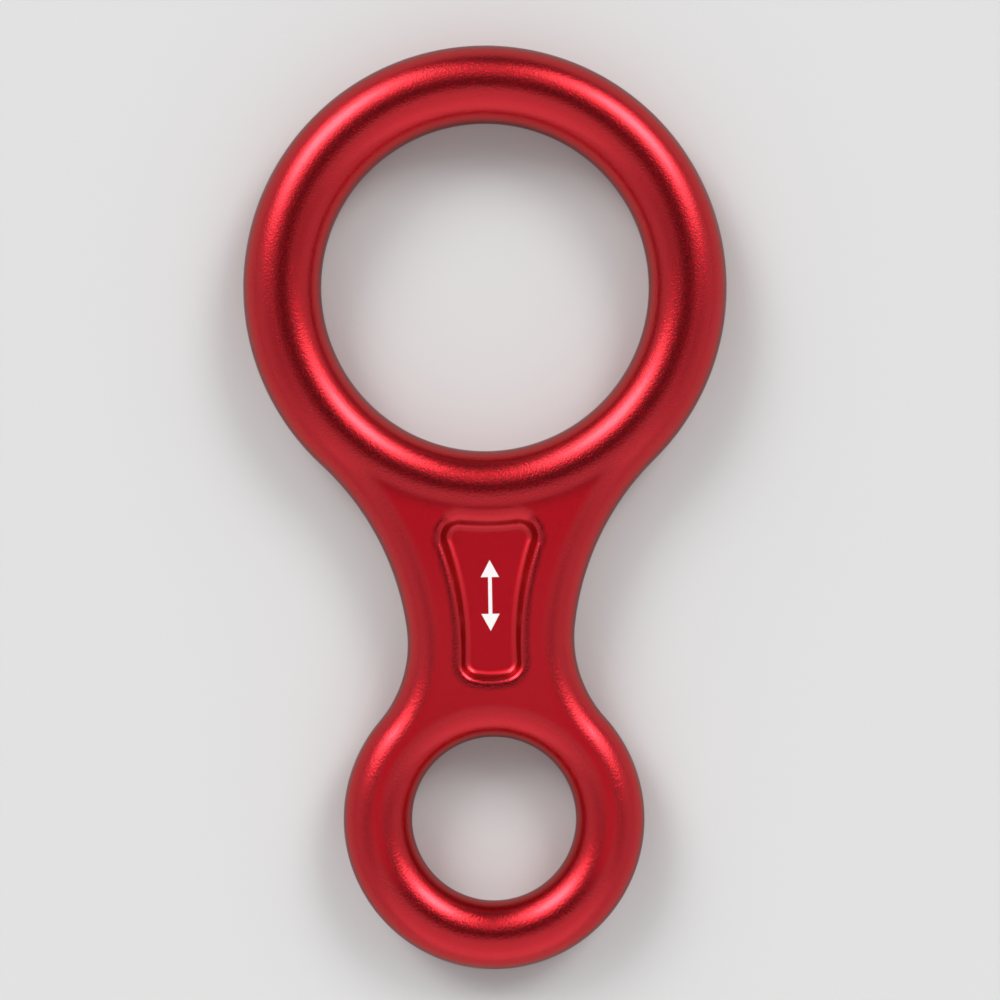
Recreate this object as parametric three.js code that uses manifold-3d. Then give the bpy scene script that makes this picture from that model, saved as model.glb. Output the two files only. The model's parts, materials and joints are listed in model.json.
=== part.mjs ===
// Figure eight descender: one forged and anodised piece with a large rope eye, a small
// carabiner eye, a web between them, and a shallow pocket sunk into each face of the web.
//
// It lies flat, in millimetres. X is its width, Y its length with the rope eye at +Y, and
// Z its thickness with z = 0 at its lowest point. The two faces are mirror images.
import * as THREE from 'three';
import { mergeVertices } from 'three/addons/utils/BufferGeometryUtils.js';
import Module from 'manifold-3d';

// The rope ring, round in section
const ropeEyeDiameter = 52;
const ropeRingWidth = 12.4;
const ropeRingThickness = 12.4;

// The carabiner ring, which is as thick as the web
const clipEyeDiameter = 26;
const clipRingWidth = 10.9;

// The web, which thickens towards the rope ring, and the distance between the eyes' centres
const eyeSpacing = 84.4;
const webThickness = 10.4;
const webRootThickness = 11.8;
const waistWidth = 26.5;
const upperFlankRadius = 43.4;
const lowerFlankRadius = 18.9;
const edgeRoundWidth = 5.4;

// The pocket, drawn by the line at the top of its foot's fillet: its width at the waist, the
// hollow of its sides, how far it lies from the two eyes, the bow of its lower end, and its
// corners
const pocketFloorThickness = 7.7;
const pocketFilletRadius = 1.5;
const pocketWaistWidth = 8.5;
const pocketSideRadius = 49;
const pocketToRopeEye = 11.6;
const pocketToClipEye = 9.6;
const pocketEndRadius = 12;
const pocketCornerRadius = 2.3;
const cutterOverrun = 1.5;

// The lean of the pocket's walls, from the floor
const pocketWallAngle = THREE.MathUtils.degToRad(57);

// How softly the rope ring runs into the web, as a share of the height where they meet
const blendShare = 0.06;

// Where the mesh turns from the rings' radial rows to the web's cross rows, along the flank
const upperFanShare = 0.2;
const lowerFanShare = 0.18;

// Mesh counts: columns across a band, and rows along one side of each stretch
const bandColumns = 12;
const ropeTopRows = 15;
const ropeLowerRows = 8;
const upperFanRows = 8;
const webRows = 20;
const lowerFanRows = 7;
const clipUpperRows = 7;
const clipLowerRows = 15;
const cornerSteps = 4;
const sideSteps = 16;
const endSteps = 3;
const filletSteps = 2;

// Colour of the anodised skin
const anodisedRed = 0xce2434;
const skinRoughness = 0.38;
const skinMetalness = 0.9;

// Sizes worked out from the ones above
const ropeEyeRadius = ropeEyeDiameter / 2;
const ropeOuterRadius = ropeEyeRadius + ropeRingWidth;
const ropeCrestRadius = ropeEyeRadius + ropeRingWidth / 2;
const clipEyeRadius = clipEyeDiameter / 2;
const clipOuterRadius = clipEyeRadius + clipRingWidth;
const overallLength = ropeOuterRadius + eyeSpacing + clipOuterRadius;
const ropeCentre = new THREE.Vector2(0, overallLength / 2 - ropeOuterRadius);
const clipCentre = new THREE.Vector2(0, ropeCentre.y - eyeSpacing);
const halfRingThickness = ropeRingThickness / 2;
const halfWebThickness = webThickness / 2;
const halfRootThickness = webRootThickness / 2;
const halfFloorThickness = pocketFloorThickness / 2;
const halfHeight = Math.max(softerOf(halfRingThickness, halfRootThickness), halfWebThickness);

const rightAngle = Math.PI / 2;

// The two points where two circles meet, the one with the smaller x first
function circlesMeet(centreA, radiusA, centreB, radiusB) {
  const apart = centreB.clone().sub(centreA);
  const distance = apart.length();
  const along = (radiusA ** 2 - radiusB ** 2 + distance ** 2) / (2 * distance);
  const aside = Math.sqrt(Math.max(0, radiusA ** 2 - along ** 2));
  const unit = apart.divideScalar(distance);
  const base = centreA.clone().addScaledVector(unit, along);
  const normal = new THREE.Vector2(-unit.y, unit.x);
  const meetings = [
    base.clone().addScaledVector(normal, aside),
    base.clone().addScaledVector(normal, -aside),
  ];
  return meetings.sort((a, b) => a.x - b.x);
}

function angleTo(from, to) {
  return Math.atan2(to.y - from.y, to.x - from.x);
}

function pointOn(centre, radius, angle) {
  return new THREE.Vector2(centre.x + radius * Math.cos(angle), centre.y + radius * Math.sin(angle));
}

function mix(from, to, share) {
  return from + (to - from) * share;
}

// The outline of the right side runs down the rope ring, along a long hollow flank and a
// shorter one, which holds the waist, and onto the carabiner ring. All four arcs are tangent.
const lowerFlankCentre = new THREE.Vector2(waistWidth / 2 + lowerFlankRadius, 0);
lowerFlankCentre.y = clipCentre.y
  + Math.sqrt((clipOuterRadius + lowerFlankRadius) ** 2 - lowerFlankCentre.x ** 2);
const [, upperFlankCentre] = circlesMeet(
  ropeCentre, ropeOuterRadius + upperFlankRadius,
  lowerFlankCentre, upperFlankRadius - lowerFlankRadius,
);
const shoulderAngle = angleTo(ropeCentre, upperFlankCentre);
const clipShoulderAngle = angleTo(clipCentre, lowerFlankCentre);

// Angles round the flank centres grow as the outline goes down
const turn = 2 * Math.PI;
const upperStartAngle = shoulderAngle + Math.PI;
const joinAngle = (angleTo(upperFlankCentre, lowerFlankCentre) + turn) % turn;
const lowerEndAngle = clipShoulderAngle + Math.PI;
const upperFlankLength = upperFlankRadius * (joinAngle - upperStartAngle);
const lowerFlankLength = lowerFlankRadius * (lowerEndAngle - joinAngle);

// The waist is on the lower flank, or on the upper one if the flanks join below it. The side
// of the pocket is an arc that is narrowest there too.
const waistY = joinAngle < Math.PI ? lowerFlankCentre.y : upperFlankCentre.y;
const pocketSideCentre = new THREE.Vector2(pocketWaistWidth / 2 + pocketSideRadius, waistY);

// A point of the flank's outline, from the rope ring (0) to the carabiner ring (1)
function flankPoint(share) {
  const along = share * (upperFlankLength + lowerFlankLength);
  if (along < upperFlankLength) {
    return pointOn(upperFlankCentre, upperFlankRadius, upperStartAngle + along / upperFlankRadius);
  }
  const past = along - upperFlankLength;
  return pointOn(lowerFlankCentre, lowerFlankRadius, joinAngle + past / lowerFlankRadius);
}

// Distance from a point of the right half to the outline
function outlineDistance(point) {
  if (angleTo(ropeCentre, point) > shoulderAngle) {
    return ropeOuterRadius - point.distanceTo(ropeCentre);
  }
  if (angleTo(clipCentre, point) < clipShoulderAngle) {
    return clipOuterRadius - point.distanceTo(clipCentre);
  }
  const flank = lowerFlankCentre.clone().sub(upperFlankCentre);
  const arm = point.clone().sub(upperFlankCentre);
  if (flank.cross(arm) < 0) {
    return point.distanceTo(upperFlankCentre) - upperFlankRadius;
  }
  return point.distanceTo(lowerFlankCentre) - lowerFlankRadius;
}

// The larger of two heights, eased where they come close to each other
function softerOf(a, b) {
  const high = Math.max(a, b);
  const low = Math.min(a, b);
  const gapShare = low > 0 ? Math.log(high / low) / blendShare : 1;
  const ease = Math.max(0, 1 - gapShare);
  return high * (1 + blendShare * ease ** 2 / 4);
}

// Half the web's thickness, which eases from the carabiner eye up to the rope ring
function halfPlate(point) {
  const fromY = clipCentre.y + clipEyeRadius;
  const toY = ropeCentre.y - ropeOuterRadius;
  const share = THREE.MathUtils.smoothstep(point.y, fromY, toY);
  return mix(halfWebThickness, halfRootThickness, share);
}

// Half the thickness at a point of the right half: a ring of round section through a plate
// with rounded edges
function halfThickness(point) {
  const toRopeEye = point.distanceTo(ropeCentre) - ropeEyeRadius;
  const toClipEye = point.distanceTo(clipCentre) - clipEyeRadius;
  const toEdge = Math.max(0, Math.min(outlineDistance(point), toRopeEye, toClipEye));
  const rounding = 1 - Math.min(toEdge / edgeRoundWidth, 1);
  const plate = halfPlate(point) * Math.sqrt(1 - rounding ** 2);
  const offCrest = (point.distanceTo(ropeCentre) - ropeCrestRadius) / (ropeRingWidth / 2);
  const ring = halfRingThickness * Math.sqrt(Math.max(0, 1 - offCrest ** 2));
  return softerOf(plate, ring);
}

// Rows of the right half, each from the inner edge or the centre line out to the outline.
// webShare is 0 where the inner end is an eye's edge and 1 in the open web.
function rowsOfRing(centre, innerRadius, outerRadius, fromAngle, toAngle, count) {
  const rows = [];
  for (let i = 0; i < count; i += 1) {
    const angle = mix(fromAngle, toAngle, i / count);
    rows.push({
      inner: pointOn(centre, innerRadius, angle),
      outer: pointOn(centre, outerRadius, angle),
      webShare: 0,
    });
  }
  return rows;
}

function rowsOfFan(centre, innerRadius, fromAngle, toAngle, fromShare, toShare, count) {
  const rows = [];
  for (let i = 0; i < count; i += 1) {
    rows.push({
      inner: pointOn(centre, innerRadius, mix(fromAngle, toAngle, i / count)),
      outer: flankPoint(mix(fromShare, toShare, i / count)),
      webShare: 0,
    });
  }
  return rows;
}

function rowsOfWeb() {
  const top = ropeCentre.y - ropeEyeRadius;
  const bottom = clipCentre.y + clipEyeRadius;
  const rows = [];
  for (let i = 0; i < webRows; i += 1) {
    const share = i / webRows;
    const eased = (1 - Math.cos(Math.PI * share)) / 2;
    const y = mix(top, bottom, eased);
    const fromEyes = Math.min(top - y, y - bottom);
    rows.push({
      inner: new THREE.Vector2(0, y),
      outer: flankPoint(mix(upperFanShare, 1 - lowerFanShare, share)),
      webShare: Math.min(1, fromEyes / edgeRoundWidth),
    });
  }
  return rows;
}

const rows = [
  ...rowsOfRing(ropeCentre, ropeEyeRadius, ropeOuterRadius, rightAngle, 0, ropeTopRows),
  ...rowsOfRing(ropeCentre, ropeEyeRadius, ropeOuterRadius, 0, shoulderAngle, ropeLowerRows),
  ...rowsOfFan(ropeCentre, ropeEyeRadius, shoulderAngle, -rightAngle, 0, upperFanShare, upperFanRows),
  ...rowsOfWeb(),
  ...rowsOfFan(
    clipCentre, clipEyeRadius, rightAngle, clipShoulderAngle, 1 - lowerFanShare, 1, lowerFanRows,
  ),
  ...rowsOfRing(clipCentre, clipEyeRadius, clipOuterRadius, clipShoulderAngle, 0, clipUpperRows),
  ...rowsOfRing(clipCentre, clipEyeRadius, clipOuterRadius, 0, -rightAngle, clipLowerRows),
  {
    inner: pointOn(clipCentre, clipEyeRadius, -rightAngle),
    outer: pointOn(clipCentre, clipOuterRadius, -rightAngle),
    webShare: 0,
  },
];

// Columns crowd towards an edge, where the section turns down
function columnShare(column, webShare) {
  const even = column / bandColumns;
  const bothEdges = (1 - Math.cos(Math.PI * even)) / 2;
  const outerEdge = Math.sin(rightAngle * even);
  return mix(bothEdges, outerEdge, webShare);
}

// One quarter of the skin: the right half of the upper face, as a grid of points
const quarter = rows.map((row) => {
  const line = [];
  for (let column = 0; column <= bandColumns; column += 1) {
    const share = columnShare(column, row.webShare);
    const place = row.inner.clone().lerp(row.outer, share);
    const onOutline = column === bandColumns;
    const onEye = column === 0 && row.webShare === 0;
    const height = onOutline || onEye ? 0 : halfThickness(place);
    line.push(new THREE.Vector3(place.x, place.y, height));
  }
  return line;
});

// Mirrors the quarter to the left half and the lower face, and joins all four
function forgedSkin() {
  const corners = [];
  const addTriangle = (a, b, c, side, face) => {
    const points = side * face > 0 ? [a, b, c] : [a, c, b];
    for (const point of points) {
      corners.push(point.x * side, point.y, halfHeight + point.z * face);
    }
  };
  for (const side of [1, -1]) {
    for (const face of [1, -1]) {
      for (let row = 0; row + 1 < quarter.length; row += 1) {
        for (let column = 0; column < bandColumns; column += 1) {
          const near = quarter[row][column];
          const far = quarter[row][column + 1];
          const nearNext = quarter[row + 1][column];
          const farNext = quarter[row + 1][column + 1];
          addTriangle(near, farNext, far, side, face);
          addTriangle(near, nearNext, farNext, side, face);
        }
      }
    }
  }
  const geometry = new THREE.BufferGeometry();
  geometry.setAttribute('position', new THREE.Float32BufferAttribute(corners, 3));
  return mergeVertices(geometry);
}

// A corner of the pocket: the circle that touches one end and the side, and the angle round
// the side's centre at which it does
function pocketCorner(endCentre, endRadius) {
  const sideReach = pocketSideRadius + pocketCornerRadius;
  const [centre] = circlesMeet(endCentre, endRadius, pocketSideCentre, sideReach);
  return { centre, angle: (angleTo(pocketSideCentre, centre) + turn) % turn };
}

// The right side of the pocket's outline, from the top down, drawn in from its line by a
// distance. The upper end follows the rope ring, the lower end is a bow of its own, and all
// four corners are round.
function pocketSide(inward) {
  const topRadius = ropeEyeRadius + pocketToRopeEye;
  const bowCentre = new THREE.Vector2(0, clipCentre.y + clipEyeRadius + pocketToClipEye + pocketEndRadius);
  const top = pocketCorner(ropeCentre, topRadius + pocketCornerRadius);
  const bottom = pocketCorner(bowCentre, pocketEndRadius - pocketCornerRadius);
  const topEndAngle = angleTo(ropeCentre, top.centre);
  const bowStartAngle = angleTo(bowCentre, bottom.centre);
  const cornerRadius = pocketCornerRadius - inward;
  const side = [];
  for (let i = 0; i < sideSteps; i += 1) {
    const angle = mix(top.angle, bottom.angle, i / sideSteps);
    side.push(pointOn(pocketSideCentre, pocketSideRadius + inward, angle));
  }
  return [
    ...arc(ropeCentre, topRadius + inward, -rightAngle, topEndAngle, endSteps),
    ...arc(top.centre, cornerRadius, topEndAngle + Math.PI, top.angle - Math.PI, cornerSteps),
    ...side,
    ...arc(bottom.centre, cornerRadius, bottom.angle - Math.PI, bowStartAngle, cornerSteps),
    ...arc(bowCentre, pocketEndRadius - inward, bowStartAngle, -rightAngle, endSteps),
    new THREE.Vector2(0, bowCentre.y - pocketEndRadius + inward),
  ];
}

// Points along an arc, without its last one
function arc(centre, radius, fromAngle, toAngle, steps) {
  const points = [];
  for (let i = 0; i < steps; i += 1) {
    points.push(pointOn(centre, radius, mix(fromAngle, toAngle, i / steps)));
  }
  return points;
}

// The closed outline, anticlockwise from its bottom
function pocketOutline(inward) {
  const right = pocketSide(inward);
  const left = right.slice(1, -1).map((point) => new THREE.Vector2(-point.x, point.y));
  return [...right.reverse(), ...left];
}

// The levels of the pocket's wall from the floor up: how far each lies inward of the
// pocket's line, and how high above the floor. The foot is filleted, and above the line the
// wall leans straight out, past the face.
function pocketLevels() {
  const footRun = pocketFilletRadius * Math.sin(pocketWallAngle);
  const levels = [];
  for (let step = 0; step <= filletSteps; step += 1) {
    const lean = pocketWallAngle * step / filletSteps;
    levels.push({
      inward: footRun - pocketFilletRadius * Math.sin(lean),
      rise: pocketFilletRadius * (1 - Math.cos(lean)),
    });
  }
  const mouthRise = halfRootThickness - halfFloorThickness + cutterOverrun;
  const wallRise = mouthRise - levels[filletSteps].rise;
  levels.push({ inward: -wallRise / Math.tan(pocketWallAngle), rise: mouthRise });
  return levels;
}

// The solid that sinks the pocket into one face
function pocketCutter(face) {
  const rings = pocketLevels().map(({ inward, rise }) => {
    const height = halfHeight + face * (halfFloorThickness + rise);
    return pocketOutline(inward).map((point) => new THREE.Vector3(point.x, point.y, height));
  });
  const count = rings[0].length;
  const lastRing = rings.length - 1;
  const triangles = [];
  for (const [a, b, c] of THREE.ShapeUtils.triangulateShape(rings[0], [])) {
    triangles.push([a, c, b]);
  }
  for (const [a, b, c] of THREE.ShapeUtils.triangulateShape(rings[lastRing], [])) {
    triangles.push([a, b, c].map((index) => index + count * lastRing));
  }
  for (let ring = 0; ring < lastRing; ring += 1) {
    const low = ring * count;
    const high = low + count;
    for (let i = 0; i < count; i += 1) {
      const next = (i + 1) % count;
      triangles.push([low + i, low + next, high + next], [low + i, high + next, high + i]);
    }
  }
  const wound = face > 0 ? triangles : triangles.map(([a, b, c]) => [a, c, b]);
  const geometry = new THREE.BufferGeometry().setFromPoints(rings.flat());
  geometry.setIndex(wound.flat());
  return geometry;
}

const wasm = await Module();
wasm.setup();

function solidOf(geometry) {
  return new wasm.Manifold(new wasm.Mesh({
    numProp: 3,
    vertProperties: new Float32Array(geometry.attributes.position.array),
    triVerts: new Uint32Array(geometry.index.array),
  }));
}

function geometryOf(solid) {
  const mesh = solid.getMesh();
  const geometry = new THREE.BufferGeometry();
  geometry.setAttribute('position', new THREE.BufferAttribute(mesh.vertProperties, 3));
  geometry.setIndex(new THREE.BufferAttribute(mesh.triVerts, 1));
  geometry.computeVertexNormals();
  return geometry;
}

const forging = solidOf(forgedSkin())
  .subtract(solidOf(pocketCutter(1)))
  .subtract(solidOf(pocketCutter(-1)));

const body = new THREE.Mesh(
  geometryOf(forging),
  new THREE.MeshStandardMaterial({
    color: anodisedRed,
    roughness: skinRoughness,
    metalness: skinMetalness,
  }),
);
body.name = 'descender_body';

const descender = new THREE.Group();
descender.add(body);
export default descender;
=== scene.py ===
"""Figure eight descender: one forged and anodised piece, on a plain pale stage.

Everything is in metres, in the frame of the packed model: the piece lies flat, +Y runs
along its length towards the rope eye, and +Z points up from the face that it lies on.
"""
import json
import math
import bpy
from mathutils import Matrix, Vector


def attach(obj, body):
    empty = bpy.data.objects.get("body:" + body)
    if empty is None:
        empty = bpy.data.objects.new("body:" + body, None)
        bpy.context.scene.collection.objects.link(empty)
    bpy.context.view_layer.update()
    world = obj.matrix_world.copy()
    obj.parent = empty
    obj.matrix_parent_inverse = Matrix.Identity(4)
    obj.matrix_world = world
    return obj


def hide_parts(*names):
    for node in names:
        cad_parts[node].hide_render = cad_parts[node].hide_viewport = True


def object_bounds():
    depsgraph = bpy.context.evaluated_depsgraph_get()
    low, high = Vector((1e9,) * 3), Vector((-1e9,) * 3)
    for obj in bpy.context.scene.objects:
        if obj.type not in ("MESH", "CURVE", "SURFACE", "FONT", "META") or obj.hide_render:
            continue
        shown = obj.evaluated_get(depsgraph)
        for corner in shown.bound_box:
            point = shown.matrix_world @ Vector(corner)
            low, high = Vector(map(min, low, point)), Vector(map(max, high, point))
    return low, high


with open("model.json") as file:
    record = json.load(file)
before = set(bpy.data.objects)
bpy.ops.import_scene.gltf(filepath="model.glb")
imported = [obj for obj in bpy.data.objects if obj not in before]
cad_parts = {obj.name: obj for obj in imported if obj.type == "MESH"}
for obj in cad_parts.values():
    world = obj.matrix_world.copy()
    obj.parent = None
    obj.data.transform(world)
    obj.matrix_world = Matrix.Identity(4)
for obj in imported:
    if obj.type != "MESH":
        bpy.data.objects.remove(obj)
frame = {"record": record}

from types import SimpleNamespace

import bpy
import numpy as np
from bpy.props import FloatProperty, FloatVectorProperty, IntProperty, PointerProperty
from mathutils import Vector

bl_info = {
    "name": "Figure eight descender",
    "version": (1, 0, 0),
    "blender": (4, 5, 0),
    "location": "View3D > Sidebar > Descender",
    "description": "Makes a forged figure eight descender and a plain stage for it",
    "category": "Mesh",
}

# What the packed model gives: its box, and the middles of the two eyes
CAD_NODE = "descender_body"
CAD_LOW, CAD_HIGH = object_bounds()
MIDDLE_Z = (CAD_LOW.z + CAD_HIGH.z) / 2
EYE_BOXES = {eye["name"]: eye["box_m"] for eye in frame["record"]["physics"]["openings"]}


def eye_middle_y(name):
    """Where along the length an eye's opening has its middle."""
    low, high = EYE_BOXES[name]
    return (low[1] + high[1]) / 2


ROPE_Y = eye_middle_y("rope_eye")
CLIP_Y = eye_middle_y("carabiner_eye")
ROPE_OUTER_RADIUS = CAD_HIGH.y - ROPE_Y
CLIP_OUTER_RADIUS = CLIP_Y - CAD_LOW.y

QUARTER_TURN = math.pi / 2
HALF_TURN = math.pi
FULL_TURN = 2 * math.pi


# Sizes, finishes and levels that a user would change


def length(name, description, default):
    """A property that holds a length."""
    return FloatProperty(
        name=name, description=description, default=default, unit="LENGTH", subtype="DISTANCE",
        precision=5,
    )


def share(name, description, default):
    """A property that holds a share between 0 and 1."""
    return FloatProperty(
        name=name, description=description, default=default, min=0, max=1, subtype="FACTOR",
    )


def angle(name, description, degrees):
    """A property that holds an angle."""
    return FloatProperty(
        name=name, description=description, default=math.radians(degrees), unit="ROTATION",
        subtype="ANGLE",
    )


def colour(name, description, default):
    """A property that holds a plain colour."""
    return FloatVectorProperty(
        name=name, description=description, default=default, size=3, min=0, max=1,
        subtype="COLOR",
    )


def level(name, description, default):
    """A property that holds a level of light, where 1 is white."""
    return FloatProperty(name=name, description=description, default=default, min=0)


def count(name, description, default):
    """A property that holds a number of mesh rows or columns."""
    return IntProperty(name=name, description=description, default=default, min=1)


class DESCENDER_PG_forging(bpy.types.PropertyGroup):
    """Sizes of the forged piece."""

    rope_eye: length("Rope eye", "Bore of the large eye", 0.052)
    rope_thickness: length("Rope ring thickness", "Thickness of the round section", 0.0124)
    clip_eye: length("Carabiner eye", "Bore of the small eye", 0.026)
    web_thickness: length("Web thickness", "At the carabiner ring", 0.0104)
    root_thickness: length("Web root thickness", "Where the web meets the rope ring", 0.0118)
    waist_width: length("Waist", "Narrowest width of the web", 0.0265)
    upper_flank: length("Upper flank radius", "Hollow from the rope ring to the waist", 0.0434)
    lower_flank: length("Lower flank radius", "Hollow from the waist to the small ring", 0.0189)
    edge_round: length("Edge rounding", "Width over which the web rounds to its edge", 0.0054)
    blend: share("Crest blend", "How softly the rope ring runs into the web", 0.06)


class DESCENDER_PG_pocket(bpy.types.PropertyGroup):
    """Sizes of the shallow pocket in each face of the web."""

    floor_thickness: length("Floor thickness", "Metal left between the two floors", 0.0077)
    fillet: length("Foot fillet", "Radius at the foot of the wall", 0.0015)
    lip_radius: length("Lip radius", "Rounding of the wall's lip", 0.0012)
    top_lip_radius: length("Top lip radius", "Rounding of the lip at the rope ring", 0.003)
    waist_width: length("Width", "Between the walls' feet at the waist", 0.0085)
    side_radius: length("Side radius", "Hollow of the sides", 0.049)
    to_rope_eye: length("To the rope eye", "Metal between the pocket and the rope eye", 0.0116)
    to_clip_eye: length("To the carabiner eye", "Metal below the pocket", 0.0096)
    end_radius: length("Lower end radius", "Bow of the lower end", 0.012)
    corner: length("Corner radius", "Rounding of the four corners", 0.0023)
    wall_angle: angle("Wall angle", "Lean of the walls, from the floor", 57)


class DESCENDER_PG_mesh(bpy.types.PropertyGroup):
    """How finely the piece is meshed."""

    rope_rows: count("Rope ring rows", "Round half of the rope ring", 68)
    upper_fan_rows: count("Upper fan rows", "From the shoulder to the centre line", 22)
    root_rows: count("Root rows", "From the rope eye to the pocket", 24)
    pocket_rows: count("Pocket rows", "Down the pocket", 118)
    foot_rows: count("Foot rows", "From the pocket to the carabiner eye", 20)
    lower_fan_rows: count("Lower fan rows", "From the centre line to the small ring", 20)
    clip_rows: count("Carabiner ring rows", "Round half of the small ring", 52)
    pocket_columns: count("Pocket columns", "Across the inner half of the web", 34)
    edge_columns: count("Edge columns", "Across the outer half of the web", 20)


class DESCENDER_PG_skin(bpy.types.PropertyGroup):
    """Look of the blasted and anodised skin, and of the mark etched into it."""

    dye: colour("Dye", "Colour of the anodised skin", (0.54, 0.004, 0.014))
    edge_tint: colour("Edge tint", "What the dye leaves of a grazing reflection", (0.2, 0.12, 0.12))
    roughness: share("Roughness", "Blur of reflections on the round rings", 0.22)
    matte_roughness: share("Matte roughness", "Blur of reflections on the web's faces", 0.46)
    grain_size: length("Grain", "Width of one blasted dimple", 0.00034)
    grain_depth: length("Grain depth", "Depth of one blasted dimple", 0.000062)
    grain_blur: share("Grain blur", "How much the blur varies from dimple to dimple", 0.16)
    grain_loss: share("Grain loss", "How much of the dimples' depth the matte faces lose", 0.65)
    swell_size: length("Swell", "Width of the forging's faint waves", 0.009)
    swell_depth: length("Swell depth", "Height of the forging's faint waves", 0.00002)
    cloud_size: length("Clouds", "Width of the clouds in the dye", 0.018)
    cloud_depth: share("Cloud depth", "How much the dye varies from cloud to cloud", 0.16)
    sealed_coat: share("Sealed coat", "Strength of the clear sealed layer", 0.6)
    coat_roughness: share("Coat roughness", "Blur of reflections on the sealed layer", 0.24)
    mark: colour("Etched mark", "Colour of the etched arrow", (0.78, 0.74, 0.74))
    mark_roughness: share("Mark roughness", "Blur of reflections on the etched arrow", 0.7)
    mark_length: length("Mark length", "From tip to tip of the arrow", 0.0112)
    mark_line: length("Mark line", "Width of the arrow's shaft", 0.0006)
    mark_head: length("Mark head", "Length of one arrow head", 0.0027)
    mark_head_width: length("Mark head width", "Width of one arrow head", 0.0029)
    mark_softness: length("Mark softness", "Width over which the arrow's edge fades", 0.000075)
    mark_y: length("Mark place", "Middle of the arrow along the length", -0.0139)


class DESCENDER_PG_stage(bpy.types.PropertyGroup):
    """The floor, the light and the camera."""

    floor: colour("Floor", "Colour of the floor and its upturned rim", (0.58, 0.58, 0.58))
    floor_roughness: share("Floor roughness", "Blur of reflections on the floor", 0.9)
    floor_gloss: share("Floor gloss", "Strength of reflections on the floor", 0.1)
    floor_radius: length("Floor radius", "From the piece to the rim", 3.0)
    rim_height: length("Rim height", "Height of the upturned rim", 0.5)
    camera_distance: length("Camera distance", "From the middle of the piece", 0.6)
    frame_width: length("Frame width", "What the picture spans at the piece", 0.15887)
    camera_x: length("Camera X", "Where the camera looks, across the piece", 0.00181)
    camera_y: length("Camera Y", "Where the camera looks, along the piece", 0.00114)
    camera_roll: angle("Camera roll", "Turn of the picture about its middle", -0.99)
    opening: level("Opening", "Light in the ceiling's dark opening, where the camera stands", 0.03)
    ceiling: level("Ceiling", "Light of the ceiling round the opening", 0.42)
    walls: level("Walls", "Light of the walls", 0.68)
    card: share("Dark card", "What a dark card behind the piece leaves of the walls' light", 0.2)


GROUPS = {
    "descender_forging": DESCENDER_PG_forging,
    "descender_pocket": DESCENDER_PG_pocket,
    "descender_mesh": DESCENDER_PG_mesh,
    "descender_skin": DESCENDER_PG_skin,
    "descender_stage": DESCENDER_PG_stage,
}


# Node helpers


class Field:
    """A value in a node tree that can be added, multiplied and so on like a number."""

    def __init__(self, tree, socket):
        self.tree = tree
        self.socket = socket

    def apply(self, operation, *others):
        """Adds a math node that works on this value and the others."""
        node = self.tree.nodes.new("ShaderNodeMath")
        node.operation = operation
        for socket, value in zip(node.inputs, (self, *others)):
            feed(self.tree, socket, value)
        return Field(self.tree, node.outputs[0])

    def __add__(self, other):
        return self.apply("ADD", other)

    def __sub__(self, other):
        return self.apply("SUBTRACT", other)

    def __mul__(self, other):
        return self.apply("MULTIPLY", other)

    def __truediv__(self, other):
        return self.apply("DIVIDE", other)

    def __neg__(self):
        return self.apply("MULTIPLY", -1)

    def squared(self):
        return self.apply("MULTIPLY", self)

    def root(self):
        return self.apply("SQRT")

    def magnitude(self):
        return self.apply("ABSOLUTE")

    def least(self, other):
        return self.apply("MINIMUM", other)

    def most(self, other):
        return self.apply("MAXIMUM", other)

    def one_minus(self):
        return (-self) + 1


def feed(tree, socket, value):
    """Sets an input socket to a number, a vector or a colour, or links a field or a socket to it."""
    if isinstance(value, Field):
        tree.links.new(value.socket, socket)
    elif isinstance(value, bpy.types.NodeSocket):
        tree.links.new(value, socket)
    else:
        socket.default_value = value


def add_node(tree, kind, settings=None, **inputs):
    """Adds a node with its settings, and feeds its inputs, whose names have _ for a space."""
    node = tree.nodes.new(kind)
    for name, value in (settings or {}).items():
        setattr(node, name, value)
    for name, value in inputs.items():
        feed(tree, node.inputs[name.replace("_", " ")], value)
    return node


def vector_math(tree, operation, first, second):
    """Adds a vector math node of two inputs, which have the same name in Blender."""
    node = add_node(tree, "ShaderNodeVectorMath", {"operation": operation})
    feed(tree, node.inputs[0], first)
    feed(tree, node.inputs[1], second)
    return node


def new_socket(tree, name, direction, kind):
    """Adds an input or an output to a node group."""
    return tree.interface.new_socket(name=name, in_out=direction, socket_type=kind)


# The flat plan of the piece's right half


def point_on(centre, radius, turn):
    """Points on a circle, for one angle or many."""
    across = centre[0] + radius * np.cos(turn)
    along = centre[1] + radius * np.sin(turn)
    return np.stack([across, along], axis=-1)


def reach(points, centre):
    """How far points lie from a centre."""
    return np.linalg.norm(points - centre, axis=-1)


def turn_from(centre, points):
    """In which direction points lie from a centre, as an angle from +X."""
    return np.arctan2(points[..., 1] - centre[1], points[..., 0] - centre[0])


def circles_meet(centre_a, radius_a, centre_b, radius_b):
    """The two points where two circles meet, the one with the smaller x first."""
    apart = centre_b - centre_a
    distance = np.linalg.norm(apart)
    along = (radius_a**2 - radius_b**2 + distance**2) / (2 * distance)
    aside = math.sqrt(max(0, radius_a**2 - along**2))
    unit = apart / distance
    base = centre_a + unit * along
    normal = np.array([-unit[1], unit[0]])
    return sorted([base + normal * aside, base - normal * aside], key=lambda point: point[0])


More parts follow.
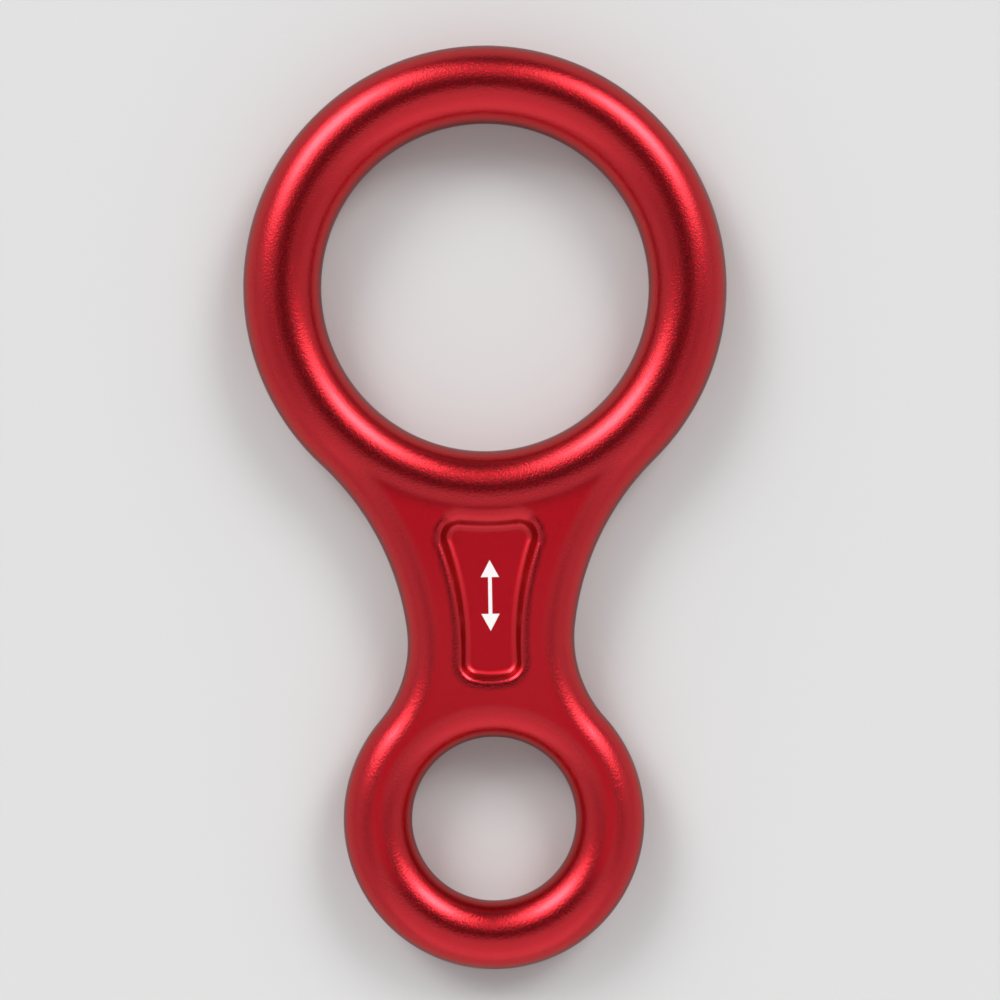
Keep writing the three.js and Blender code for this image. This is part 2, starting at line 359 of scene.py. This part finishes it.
def make_outline(sizes):
    """The circles that the piece's outline is made of, and where they touch."""
    outline = SimpleNamespace()
    outline.rope = np.array([0, ROPE_Y])
    outline.clip = np.array([0, CLIP_Y])
    outline.rope_eye = sizes.rope_eye / 2
    outline.clip_eye = sizes.clip_eye / 2

    # The hollow flank: its lower circle touches the small ring, its upper one touches both
    # the rope ring and the lower circle
    outline.upper_radius = sizes.upper_flank
    outline.lower_radius = sizes.lower_flank
    lower_x = sizes.waist_width / 2 + outline.lower_radius
    lower_reach = CLIP_OUTER_RADIUS + outline.lower_radius
    outline.lower = np.array([lower_x, CLIP_Y + math.sqrt(lower_reach**2 - lower_x**2)])
    outline.upper = circles_meet(
        outline.rope, ROPE_OUTER_RADIUS + outline.upper_radius,
        outline.lower, outline.upper_radius - outline.lower_radius,
    )[1]

    # Where the circles touch, as angles, where the waist is, and how long the flank's arcs are
    outline.shoulder = turn_from(outline.rope, outline.upper)
    outline.clip_shoulder = turn_from(outline.clip, outline.lower)
    outline.join = turn_from(outline.upper, outline.lower) % FULL_TURN
    outline.waist_y = (outline.lower if outline.join < HALF_TURN else outline.upper)[1]
    outline.upper_start = outline.shoulder + HALF_TURN
    lower_end = outline.clip_shoulder + HALF_TURN
    outline.upper_length = outline.upper_radius * (outline.join - outline.upper_start)
    outline.lower_length = outline.lower_radius * (lower_end - outline.join)
    return outline


def flank_points(outline, shares):
    """Points down the flank's outline, from the rope ring (0) to the carabiner ring (1)."""
    along = np.asarray(shares) * (outline.upper_length + outline.lower_length)
    upper_turn = outline.upper_start + along / outline.upper_radius
    lower_turn = outline.join + (along - outline.upper_length) / outline.lower_radius
    on_upper = point_on(outline.upper, outline.upper_radius, upper_turn)
    on_lower = point_on(outline.lower, outline.lower_radius, lower_turn)
    return np.where((along < outline.upper_length)[..., None], on_upper, on_lower)


def outline_distance(outline, points):
    """How far points of the right half lie inside the outline."""
    flank = outline.lower - outline.upper
    arm = points - outline.upper
    above_join = flank[0] * arm[..., 1] - flank[1] * arm[..., 0] < 0
    to_flank = np.where(
        above_join,
        reach(points, outline.upper) - outline.upper_radius,
        reach(points, outline.lower) - outline.lower_radius,
    )
    on_rope_ring = turn_from(outline.rope, points) > outline.shoulder
    on_clip_ring = turn_from(outline.clip, points) < outline.clip_shoulder
    to_rope_outline = ROPE_OUTER_RADIUS - reach(points, outline.rope)
    to_clip_outline = CLIP_OUTER_RADIUS - reach(points, outline.clip)
    return np.select([on_rope_ring, on_clip_ring], [to_rope_outline, to_clip_outline], to_flank)


def pocket_distances(outline, pocket, points):
    """How far points of the right half lie inside the pocket's line, and inside its top and side."""
    top_radius = outline.rope_eye + pocket.to_rope_eye
    bow_y = CLIP_Y + outline.clip_eye + pocket.to_clip_eye + pocket.end_radius
    bow = np.array([0, bow_y])
    side = np.array([pocket.waist_width / 2 + pocket.side_radius, outline.waist_y])
    side_reach = pocket.side_radius + pocket.corner
    top_corner = circles_meet(outline.rope, top_radius + pocket.corner, side, side_reach)[0]
    bottom_corner = circles_meet(bow, pocket.end_radius - pocket.corner, side, side_reach)[0]
    to_top = reach(points, outline.rope) - top_radius
    to_side = reach(points, side) - pocket.side_radius
    to_bow = np.where(points[..., 1] < bow_y, pocket.end_radius - reach(points, bow), np.inf)
    inward = np.minimum(np.minimum(to_top, to_side), to_bow)

    # A corner rules where a point lies between the directions of the two lines that it joins
    corners = [
        (top_corner, outline.rope - top_corner, side - top_corner),
        (bottom_corner, bottom_corner - bow, side - bottom_corner),
    ]
    for centre, first, second in corners:
        basis = np.linalg.inv(np.stack([first, second], axis=1))
        in_corner = ((points - centre) @ basis.T >= 0).all(axis=-1)
        inward = np.where(in_corner, pocket.corner - reach(points, centre), inward)
    return inward, to_top, to_side


def eased(values):
    """Eases shares from 0 to 1, and holds what lies outside at the nearer end."""
    held = np.clip(values, 0, 1)
    return held * held * (3 - 2 * held)


def between(values, shares):
    """Eases values from 0 at the first share to 1 at the second."""
    return eased((values - shares[0]) / (shares[1] - shares[0]))


# Where the matte skin begins and where it is whole: off an edge, as shares of its rounding,
# off the rope ring's crest, off the middle of the pocket's wall, as shares of the pocket's
# depth, and up the small ring, as shares of its outer radius above its middle
MATTE_OFF_EDGE_SHARES = (0.72, 0.94)
MATTE_OFF_CREST = 0.005
MATTE_OFF_WALL_SHARES = (0.4, 0.75)
MATTE_UP_CLIP_RING_SHARES = (-0.6, -0.2)


def matte_share(points, fields, sizes, pocket):
    """How matte the skin is: whole on flat faces, none near edges, on the rope ring or on walls."""
    depth = (sizes.root_thickness - pocket.floor_thickness) / 2
    wall_middle = -depth / (2 * math.tan(pocket.wall_angle))
    off_wall = np.abs(fields["pocket"] - wall_middle) / depth
    up_clip_ring = (points[..., 1] - CLIP_Y) / CLIP_OUTER_RADIUS
    return (
        between(fields["edge"] / sizes.edge_round, MATTE_OFF_EDGE_SHARES)
        * eased(fields["crest"] / MATTE_OFF_CREST)
        * between(off_wall, MATTE_OFF_WALL_SHARES)
        * between(up_clip_ring, MATTE_UP_CLIP_RING_SHARES)
    )


# How much of the flank each fan of rows takes, and how much of the web's half width the
# close columns over the pocket take
UPPER_FAN_SHARE = 0.2
LOWER_FAN_SHARE = 0.18
POCKET_WIDTH_SHARE = 0.5


def ring_rows(centre, inner, outer, start, end, rows):
    """Rows across a ring, from its eye out to its outline."""
    turns = np.linspace(start, end, rows, endpoint=False)
    return point_on(centre, inner, turns), point_on(centre, outer, turns), np.zeros(rows)


def fan_rows(outline, centre, inner, turns, shares, rows):
    """Rows from an eye's edge to the flank, between a ring's rows and the web's."""
    on_eye = np.linspace(turns[0], turns[1], rows, endpoint=False)
    on_flank = np.linspace(shares[0], shares[1], rows, endpoint=False)
    return point_on(centre, inner, on_eye), flank_points(outline, on_flank), np.zeros(rows)


def web_rows(outline, sizes, pocket, mesh):
    """Rows from the centre line to the flank, close together over the pocket."""
    top = ROPE_Y - outline.rope_eye
    bottom = CLIP_Y + outline.clip_eye

    # The close rows go on past the pocket's line, over its wall and its lip
    past_line = 2 * pocket.lip_radius + (sizes.root_thickness - pocket.floor_thickness) / 2
    pocket_top = top - pocket.to_rope_eye + past_line
    pocket_bottom = bottom + pocket.to_clip_eye - past_line

    def progress(y):
        """How far down the web a height is, from 0 to 1, with rows crowded at both ends."""
        return np.arccos(1 - 2 * (top - y) / (top - bottom)) / HALF_TURN

    down = np.concatenate([
        np.linspace(0, progress(pocket_top), mesh.root_rows, endpoint=False),
        progress(np.linspace(pocket_top, pocket_bottom, mesh.pocket_rows, endpoint=False)),
        np.linspace(progress(pocket_bottom), 1, mesh.foot_rows, endpoint=False),
    ])
    y = top - (top - bottom) * (1 - np.cos(HALF_TURN * down)) / 2
    inner = np.stack([np.zeros_like(y), y], axis=-1)
    on_flank = UPPER_FAN_SHARE + down * (1 - UPPER_FAN_SHARE - LOWER_FAN_SHARE)
    from_eyes = np.minimum(top - y, y - bottom)
    return inner, flank_points(outline, on_flank), np.clip(from_eyes / sizes.edge_round, 0, 1)


def plan_rows(outline, sizes, pocket, mesh):
    """All rows of the right half, from the top of the rope ring to the bottom of the small one.

    Each row has its inner end, its outer end, and how much it is a row of the web.
    """
    rope = (outline.rope, outline.rope_eye, ROPE_OUTER_RADIUS)
    clip = (outline.clip, outline.clip_eye, CLIP_OUTER_RADIUS)
    parts = [
        ring_rows(*rope, QUARTER_TURN, outline.shoulder, mesh.rope_rows),
        fan_rows(
            outline, outline.rope, outline.rope_eye, (outline.shoulder, -QUARTER_TURN),
            (0, UPPER_FAN_SHARE), mesh.upper_fan_rows,
        ),
        web_rows(outline, sizes, pocket, mesh),
        fan_rows(
            outline, outline.clip, outline.clip_eye, (QUARTER_TURN, outline.clip_shoulder),
            (1 - LOWER_FAN_SHARE, 1), mesh.lower_fan_rows,
        ),
        ring_rows(*clip, outline.clip_shoulder, -QUARTER_TURN, mesh.clip_rows),
        ring_rows(*clip, -QUARTER_TURN, -HALF_TURN, 1),
    ]
    return [np.concatenate(column) for column in zip(*parts)]


def column_shares(mesh, web_share):
    """Where each column lies between a row's ends. Columns crowd where the section turns down."""
    even = np.linspace(0, 1, mesh.pocket_columns + mesh.edge_columns + 1)
    ring = (1 - np.cos(HALF_TURN * even)) / 2
    close = POCKET_WIDTH_SHARE * np.linspace(0, 1, mesh.pocket_columns, endpoint=False)
    edge = np.sin(QUARTER_TURN * np.linspace(0, 1, mesh.edge_columns + 1))
    web = np.concatenate([close, POCKET_WIDTH_SHARE + (1 - POCKET_WIDTH_SHARE) * edge])
    return ring + (web - ring) * web_share[:, None]


def plan_fields(outline, points, sizes, pocket):
    """What the points of the plan carry: the distances that their height and finish depend on."""
    from_rope = reach(points, outline.rope)
    from_clip = reach(points, outline.clip)
    to_eyes = np.minimum(from_rope - outline.rope_eye, from_clip - outline.clip_eye)
    web_bottom = CLIP_Y + outline.clip_eye
    web_top = ROPE_Y - ROPE_OUTER_RADIUS
    inward, to_top, to_side = pocket_distances(outline, pocket, points)
    fields = {
        "edge": np.maximum(0, np.minimum(outline_distance(outline, points), to_eyes)),
        "crest": from_rope - (outline.rope_eye + ROPE_OUTER_RADIUS) / 2,
        "root": np.clip((points[..., 1] - web_bottom) / (web_top - web_bottom), 0, 1),
        "pocket": inward,
        "top_lip": eased((to_side - to_top) / pocket.top_lip_radius),
    }
    fields["matte"] = matte_share(points, fields, sizes, pocket)
    return fields


def grid_mesh(name, points, fields):
    """A flat mesh over a grid of points, with the fields as attributes."""
    rows, columns = points.shape[:2]
    corner = np.arange((rows - 1) * columns).reshape(rows - 1, columns)[:, :-1].ravel()
    faces = np.stack([corner, corner + columns, corner + columns + 1, corner + 1], axis=1)
    vertices = np.concatenate([points, np.zeros((rows, columns, 1))], axis=-1)
    flat = bpy.data.meshes.new(name)
    flat.from_pydata(vertices.reshape(-1, 3).tolist(), [], faces.tolist())
    for field, values in fields.items():
        attribute = flat.attributes.new(field, "FLOAT", "POINT")
        attribute.data.foreach_set("value", values.astype(np.float32).ravel())
    return flat


def plan_mesh(sizes, pocket, mesh):
    """The flat mesh of the right half, which carries what its height and finish depend on."""
    outline = make_outline(sizes)
    inner, outer, web_share = plan_rows(outline, sizes, pocket, mesh)
    shares = column_shares(mesh, web_share)[..., None]
    points = inner[:, None] + (outer - inner)[:, None] * shares
    fields = plan_fields(outline, points, sizes, pocket)

    # No metal stands on the rim: the outline, and the eyes' edges where a row starts on one
    metal = np.ones(points.shape[:2])
    metal[:, -1] = 0
    metal[web_share == 0, 0] = 0
    fields["metal"] = metal
    return grid_mesh("descender_plan", points, fields)


# The rule that raises the plan to the forged shape

# Fields of the plan that only the section needs, which the finished mesh doesn't keep
SECTION_FIELDS = {"edge", "crest", "root", "pocket", "top_lip", "metal"}

SECTION_SIZES = [
    "Ring Width", "Ring Thickness", "Web Thickness", "Root Thickness", "Edge Rounding",
    "Crest Blend", "Floor Thickness", "Foot Fillet", "Wall Angle", "Lip Radius",
    "Top Lip Radius", "Middle Height", "Merge Distance",
]

# Keeps the logarithm below finite where a section has no height
TINY = 1e-9

# Vertices of two mirrored quarters closer than this are one
SEAM_DISTANCE = 1e-6


def mixed(first, second, share_of_second):
    """The first value where the share is 0, the second where it is 1."""
    return first + (second - first) * share_of_second


def arched(off_middle):
    """Height of a round section of height 1, by how far off its middle a point is, as a share."""
    return off_middle.squared().one_minus().most(0).root()


def arc_drop(radius, run):
    """How far an arc has left its tangent after a run along that tangent."""
    return radius - (radius.squared() - run.squared()).root()


def forged_face(size, distance):
    """Height of the web and the rope ring over the middle plane, with no pocket yet."""
    # The web: a plate that thickens towards the rope ring and is round at its edges
    root = distance("root")
    thickening = root.squared() * (-(root * 2) + 3)
    thickness = mixed(size("Web Thickness"), size("Root Thickness"), thickening)
    rounding = (distance("edge") / size("Edge Rounding")).least(1).one_minus()
    plate = thickness / 2 * arched(rounding)

    # The rope ring: a round section
    off_crest = distance("crest") / (size("Ring Width") / 2)
    ring = size("Ring Thickness") / 2 * arched(off_crest)

    # The higher of the two, eased where they come close to each other
    high = plate.most(ring)
    low = plate.least(ring).most(TINY)
    blend = size("Crest Blend")
    gap = (high / low).apply("LOGARITHM", math.e) / blend
    ease = gap.one_minus().most(0)
    return high * (blend * ease.squared() / 4 + 1)


def pocketed_face(face, size, distance):
    """The face with a pocket in it: a flat floor, a filleted foot, a leaning wall, a round lip."""
    inward = distance("pocket")
    lean = size("Wall Angle")
    slope = lean.apply("TANGENT")

    fillet = size("Foot Fillet")
    foot_run = fillet * lean.apply("SINE")
    over_foot = (foot_run - inward).most(0).least(foot_run)
    wall = (-inward).most(0) * slope
    sunk = size("Floor Thickness") / 2 + arc_drop(fillet, over_foot) + wall

    lip = mixed(size("Lip Radius"), size("Top Lip Radius"), distance("top_lip"))
    tangent_run = lip * (lean / 2).apply("TANGENT")
    past_wall = (sunk - face) / slope
    lip_run = lip * lean.apply("SINE")
    over_lip = (tangent_run - past_wall).most(0).least(lip_run)
    below_lip = (-past_wall - tangent_run * lean.apply("COSINE")).most(0)
    return face - arc_drop(lip, over_lip) - below_lip * slope


def with_mirror(tree, geometry, scale):
    """A geometry joined to its mirror image, whose faces are turned to point out again."""
    turned = add_node(tree, "GeometryNodeTransform", Geometry=geometry, Scale=scale)
    flipped = add_node(tree, "GeometryNodeFlipFaces", Mesh=turned.outputs[0])
    joined = tree.nodes.new("GeometryNodeJoinGeometry")
    for part in (geometry, flipped.outputs[0]):
        tree.links.new(part, joined.inputs[0])
    return joined.outputs[0]


def section_tree():
    """Geometry nodes that raise the flat plan to its section and mirror it to a closed piece."""
    tree = bpy.data.node_groups.new("Forged section", "GeometryNodeTree")
    new_socket(tree, "Geometry", "INPUT", "NodeSocketGeometry")
    for name in SECTION_SIZES:
        new_socket(tree, name, "INPUT", "NodeSocketFloat")
    new_socket(tree, "Material", "INPUT", "NodeSocketMaterial")
    new_socket(tree, "Geometry", "OUTPUT", "NodeSocketGeometry")
    entry = tree.nodes.new("NodeGroupInput").outputs

    def size(name):
        return Field(tree, entry[name])

    def distance(name):
        node = add_node(tree, "GeometryNodeInputNamedAttribute", {"data_type": "FLOAT"}, Name=name)
        return Field(tree, node.outputs["Attribute"])

    height = pocketed_face(forged_face(size, distance), size, distance) * distance("metal")
    lift = add_node(tree, "ShaderNodeCombineXYZ", Z=height).outputs[0]
    raised = add_node(
        tree, "GeometryNodeSetPosition", Geometry=entry["Geometry"], Offset=lift,
    ).outputs[0]
    upper_face = with_mirror(tree, raised, (-1, 1, 1))
    both_faces = with_mirror(tree, upper_face, (1, 1, -1))
    up = add_node(tree, "ShaderNodeCombineXYZ", Z=size("Middle Height")).outputs[0]
    placed = add_node(
        tree, "GeometryNodeTransform", Geometry=both_faces, Translation=up,
    ).outputs[0]
    closed = add_node(
        tree, "GeometryNodeMergeByDistance", Geometry=placed, Distance=size("Merge Distance"),
    ).outputs[0]
    smooth = add_node(tree, "GeometryNodeSetShadeSmooth", Geometry=closed).outputs[0]
    real = add_node(tree, "GeometryNodeRealizeInstances", Geometry=smooth).outputs[0]
    finished = add_node(
        tree, "GeometryNodeSetMaterial", Geometry=real, Material=entry["Material"],
    ).outputs[0]
    leave = tree.nodes.new("NodeGroupOutput")
    tree.links.new(finished, leave.inputs["Geometry"])
    return tree


def set_inputs(modifier, values):
    """Sets a geometry nodes modifier's inputs by their names in the tree."""
    for item in modifier.node_group.interface.items_tree:
        if item.in_out == "INPUT" and item.name in values:
            modifier[item.identifier] = values[item.name]


def make_plain(piece):
    """Turns what a piece's modifiers make into its own mesh, and removes them."""
    graph = bpy.context.evaluated_depsgraph_get()
    made = bpy.data.meshes.new_from_object(piece.evaluated_get(graph), depsgraph=graph)
    flat = piece.data
    piece.modifiers.clear()
    piece.data = made
    bpy.data.meshes.remove(flat)
    made.name = piece.name
    used = [attribute.name for attribute in made.attributes if attribute.name in SECTION_FIELDS]
    for name in used:
        made.attributes.remove(made.attributes[name])


# Material of the piece


def arrow_group():
    """Shader group that masks a plain arrow with two heads, which shows the way of the load."""
    tree = bpy.data.node_groups.new("Load arrow", "ShaderNodeTree")
    new_socket(tree, "Place", "INPUT", "NodeSocketVector")
    for name in ["Length", "Line", "Head Length", "Head Width", "Softness"]:
        new_socket(tree, name, "INPUT", "NodeSocketFloat")
    new_socket(tree, "Mask", "OUTPUT", "NodeSocketFloat")
    entry = tree.nodes.new("NodeGroupInput").outputs
    place = add_node(tree, "ShaderNodeSeparateXYZ", Vector=entry["Place"]).outputs
    aside = Field(tree, place["X"]).magnitude()
    along = Field(tree, place["Y"]).magnitude()
    half_length = Field(tree, entry["Length"]) / 2
    head_length = Field(tree, entry["Head Length"])
    softness = Field(tree, entry["Softness"])

    def inside(margin):
        """1 where a point is inside a line by a margin, 0 outside it, with a soft edge."""
        return (margin / softness + 0.5).most(0).least(1)

    from_tip = half_length - along
    shaft = inside(Field(tree, entry["Line"]) / 2 - aside) * inside(from_tip - head_length / 2)
    slope = Field(tree, entry["Head Width"]) / 2 / head_length
    head = inside(from_tip * slope - aside) * inside(head_length - from_tip)
    front = Field(tree, place["Z"]).apply("GREATER_THAN", 0)
    leave = tree.nodes.new("NodeGroupOutput")
    tree.links.new((shaft.most(head) * front).socket, leave.inputs["Mask"])
    return tree


def arrow_mask(tree, place, skin):
    """Where the arrow is etched into the skin."""
    from_mark = vector_math(tree, "SUBTRACT", place, (0, skin.mark_y, MIDDLE_Z)).outputs[0]
    arrow = add_node(
        tree, "ShaderNodeGroup", {"node_tree": arrow_group()}, Place=from_mark,
        Length=skin.mark_length, Line=skin.mark_line, Head_Length=skin.mark_head,
        Head_Width=skin.mark_head_width, Softness=skin.mark_softness,
    )
    return Field(tree, arrow.outputs["Mask"])


def mixed_colour(tree, blend_type, amount, first, second):
    """Mixes two colours, and gives the output that holds the result."""
    node = add_node(tree, "ShaderNodeMix", {"data_type": "RGBA", "blend_type": blend_type})
    feed(tree, node.inputs["Factor"], amount)
    feed(tree, node.inputs["A"], first)
    feed(tree, node.inputs["B"], second)
    return node.outputs["Result"]


def skin_material(skin):
    """Red anodised aluminium with a fine blasted grain, and an etched arrow in the front pocket."""
    material = bpy.data.materials.new("anodised_red_skin")
    material.use_nodes = True
    tree = material.node_tree
    tree.nodes.clear()
    place = add_node(tree, "ShaderNodeTexCoord").outputs["Object"]

    def noise(size, detail, roughness=0.5):
        """Noise about 0, with bumps of the given size."""
        node = add_node(
            tree, "ShaderNodeTexNoise", Vector=place, Scale=1 / size, Detail=detail,
            Roughness=roughness,
        )
        return Field(tree, node.outputs["Fac"]) - 0.5

    grain = noise(skin.grain_size, detail=2, roughness=0.6)
    swell = noise(skin.swell_size, detail=1)
    cloud = noise(skin.cloud_size, detail=2)
    mask = arrow_mask(tree, place, skin)
    matte_node = add_node(tree, "ShaderNodeAttribute", {"attribute_name": "matte"})
    matte = Field(tree, matte_node.outputs["Fac"])

    # The dye is a little deeper in some clouds than in others
    shade = cloud * skin.cloud_depth + 1
    grey = add_node(tree, "ShaderNodeCombineColor", Red=shade, Green=shade, Blue=shade).outputs[0]
    dyed = mixed_colour(tree, "MULTIPLY", 1, (*skin.dye, 1), grey)
    marked = mixed_colour(tree, "MIX", mask, dyed, (*skin.mark, 1))

    # The matte faces blur reflections more, and their dimples are shallower
    blur = matte * (skin.matte_roughness - skin.roughness) + skin.roughness
    roughness = (grain * skin.grain_blur + blur).most(mask * skin.mark_roughness)
    dimples = grain * (matte * -skin.grain_loss + 1)
    swollen = add_node(
        tree, "ShaderNodeBump", Strength=1, Distance=skin.swell_depth, Height=swell,
    ).outputs[0]
    dimpled = add_node(
        tree, "ShaderNodeBump", Strength=1, Distance=skin.grain_depth, Height=dimples,
        Normal=swollen,
    ).outputs[0]

    shader = add_node(
        tree, "ShaderNodeBsdfPrincipled", Base_Color=marked, Metallic=mask.one_minus(),
        Roughness=roughness, Specular_Tint=(*skin.edge_tint, 1), Normal=dimpled,
        Coat_Weight=skin.sealed_coat, Coat_Roughness=skin.coat_roughness,
    )
    add_node(tree, "ShaderNodeOutputMaterial", Surface=shader.outputs[0])
    return material


class DESCENDER_OT_forged_body(bpy.types.Operator):
    """Make the forged piece with its two eyes, its web and its pockets"""

    bl_idname = "descender.forged_body"
    bl_label = "Forged body"

    def execute(self, context):
        scene = context.scene
        sizes = scene.descender_forging
        pocket = scene.descender_pocket
        plan = plan_mesh(sizes, pocket, scene.descender_mesh)
        piece = bpy.data.objects.new("forged_body", plan)
        scene.collection.objects.link(piece)
        modifier = piece.modifiers.new("Forged section", "NODES")
        modifier.node_group = section_tree()
        set_inputs(modifier, {
            "Ring Width": ROPE_OUTER_RADIUS - sizes.rope_eye / 2,
            "Ring Thickness": sizes.rope_thickness,
            "Web Thickness": sizes.web_thickness,
            "Root Thickness": sizes.root_thickness,
            "Edge Rounding": sizes.edge_round,
            "Crest Blend": sizes.blend,
            "Floor Thickness": pocket.floor_thickness,
            "Foot Fillet": pocket.fillet,
            "Wall Angle": pocket.wall_angle,
            "Lip Radius": pocket.lip_radius,
            "Top Lip Radius": pocket.top_lip_radius,
            "Middle Height": MIDDLE_Z,
            "Merge Distance": SEAM_DISTANCE,
            "Material": skin_material(scene.descender_skin),
        })
        make_plain(piece)
        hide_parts(CAD_NODE)
        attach(piece, "root")
        return {"FINISHED"}


# Stage

# Faces up the floor's bend, and round its circle
FLOOR_BEND_STEPS = 12
FLOOR_SIDES = 96

# Soft lamps: name, angle from straight up, direction round from +X, width across, all three
# in degrees, and brightness
SOFT_LAMPS = [
    ("lamp_upper_left", 53, 130, 48, 1.65),
    ("lamp_upper_right", 51, 48, 45, 1.65),
    ("lamp_front", 46, 270, 80, 0.42),
    ("core_upper_left", 52, 131, 24, 8),
    ("core_upper_right", 50, 49, 22, 8.5),
]

# Round regions where the room's light differs, in degrees: the middle's angle from straight
# up and direction round from +X, then how far from the middle the light begins and ends to change
OPENING = ((4, 90), (7, 25))
CEILING = ((0, 0), (38, 62))
DARK_CARD = ((90, 72), (26, 52))


def floor_material(stage):
    """Plain pale floor with hardly any gloss."""
    material = bpy.data.materials.new("pale_floor")
    material.use_nodes = True
    shader = material.node_tree.nodes["Principled BSDF"]
    shader.inputs["Base Color"].default_value = (*stage.floor, 1)
    shader.inputs["Roughness"].default_value = stage.floor_roughness
    shader.inputs["Specular IOR Level"].default_value = stage.floor_gloss
    return material


def make_floor(stage):
    """A round floor whose rim turns up into a low wall all round."""
    bend = stage.rim_height / 2
    profile = []
    for turn in np.linspace(0, QUARTER_TURN, FLOOR_BEND_STEPS + 1):
        radius = stage.floor_radius + bend * math.sin(turn)
        profile.append((radius, bend * (1 - math.cos(turn))))
    profile.append((stage.floor_radius + bend, stage.rim_height))

    vertices = [(0, 0, 0)]
    for radius, height in profile:
        for side in range(FLOOR_SIDES):
            turn = FULL_TURN * side / FLOOR_SIDES
            vertices.append((radius * math.cos(turn), radius * math.sin(turn), height))

    faces = []
    for side in range(FLOOR_SIDES):
        after = (side + 1) % FLOOR_SIDES
        faces.append((0, 1 + side, 1 + after))
        for ring in range(len(profile) - 1):
            low = 1 + ring * FLOOR_SIDES
            high = low + FLOOR_SIDES
            faces.append((low + side, high + side, high + after, low + after))

    surface = bpy.data.meshes.new("floor")
    surface.from_pydata(vertices, [], faces)
    surface.shade_smooth()
    surface.materials.append(floor_material(stage))
    floor = bpy.data.objects.new("floor", surface)
    bpy.context.scene.collection.objects.link(floor)


def direction(from_zenith, around):
    """The direction at an angle from straight up and one round from +X, both in degrees."""
    tilt = math.radians(from_zenith)
    turn = math.radians(around)
    across = math.sin(tilt)
    return Vector((across * math.cos(turn), across * math.sin(turn), math.cos(tilt)))


def make_lamps():
    """Soft round lamps that light the whole floor evenly, as large diffusers far away do."""
    for name, from_zenith, around, width, brightness in SOFT_LAMPS:
        lamp = bpy.data.lights.new(name, "SUN")
        lamp.angle = math.radians(width)
        lamp.energy = brightness * math.pi * math.sin(lamp.angle / 2) ** 2
        holder = bpy.data.objects.new(name, lamp)
        towards = direction(from_zenith, around)
        holder.rotation_euler = towards.to_track_quat("Z", "Y").to_euler()
        holder.location = towards
        bpy.context.scene.collection.objects.link(holder)


def make_sky(stage):
    """Room light: a ceiling with a dark opening, paler walls, and a dark card behind the piece."""
    world = bpy.data.worlds.new("studio_room")
    bpy.context.scene.world = world
    world.use_nodes = True
    tree = world.node_tree
    tree.nodes.clear()
    ray = add_node(tree, "ShaderNodeTexCoord").outputs["Generated"]

    def change(region, inside, outside):
        """Light that is one value inside a region of the room and another outside it."""
        middle, (near, far) = region
        along = vector_math(tree, "DOT_PRODUCT", ray, direction(*middle)).outputs["Value"]
        node = add_node(
            tree, "ShaderNodeMapRange", {"interpolation_type": "SMOOTHSTEP"},
            Value=Field(tree, along).apply("ARCCOSINE"), From_Min=math.radians(near),
            From_Max=math.radians(far), To_Min=inside, To_Max=outside,
        )
        return Field(tree, node.outputs["Result"])

    room = change(CEILING, stage.ceiling, stage.walls)
    opening = change(OPENING, stage.opening / stage.ceiling, 1)
    card = change(DARK_CARD, stage.card, 1)
    light = room * opening * card
    background = add_node(tree, "ShaderNodeBackground", Color=(1, 1, 1, 1), Strength=light)
    add_node(tree, "ShaderNodeOutputWorld", Surface=background.outputs[0])


def make_camera(stage):
    """Looks straight down on the piece."""
    data = bpy.data.cameras.new("camera")
    data.lens = data.sensor_width * stage.camera_distance / stage.frame_width
    camera = bpy.data.objects.new("camera", data)
    camera.location = (stage.camera_x, stage.camera_y, MIDDLE_Z + stage.camera_distance)
    camera.rotation_euler = (0, 0, stage.camera_roll)
    bpy.context.scene.collection.objects.link(camera)
    bpy.context.scene.camera = camera


class DESCENDER_OT_stage(bpy.types.Operator):
    """Make the pale floor, the soft lamps, the room light and the camera"""

    bl_idname = "descender.stage"
    bl_label = "Stage"

    def execute(self, context):
        stage = context.scene.descender_stage
        make_floor(stage)
        make_lamps()
        make_sky(stage)
        make_camera(stage)
        context.scene.view_settings.view_transform = "Standard"
        return {"FINISHED"}


# Add-on


class DESCENDER_PT_sidebar(bpy.types.Panel):
    """Sizes, finish and stage of the descender, with the steps that make it"""

    bl_idname = "DESCENDER_PT_sidebar"
    bl_label = "Figure eight descender"
    bl_space_type = "VIEW_3D"
    bl_region_type = "UI"
    bl_category = "Descender"

    def draw(self, context):
        for operator in OPERATORS:
            self.layout.operator(operator.bl_idname)
        for name, group in GROUPS.items():
            box = self.layout.box()
            box.label(text=group.__doc__)
            for field in group.__annotations__:
                box.prop(getattr(context.scene, name), field)


OPERATORS = [DESCENDER_OT_forged_body, DESCENDER_OT_stage]
CLASSES = [*GROUPS.values(), *OPERATORS, DESCENDER_PT_sidebar]


def register():
    """Adds the classes to Blender, and the groups of properties to its scenes."""
    for item in CLASSES:
        bpy.utils.register_class(item)
    for name, group in GROUPS.items():
        setattr(bpy.types.Scene, name, PointerProperty(type=group))


def unregister():
    """Takes away what register added."""
    for name in GROUPS:
        delattr(bpy.types.Scene, name)
    for item in reversed(CLASSES):
        bpy.utils.unregister_class(item)


def main():
    """Makes the piece and its stage."""
    register()
    bpy.ops.descender.forged_body()
    bpy.ops.descender.stage()


if __name__ == "__main__":
    main()
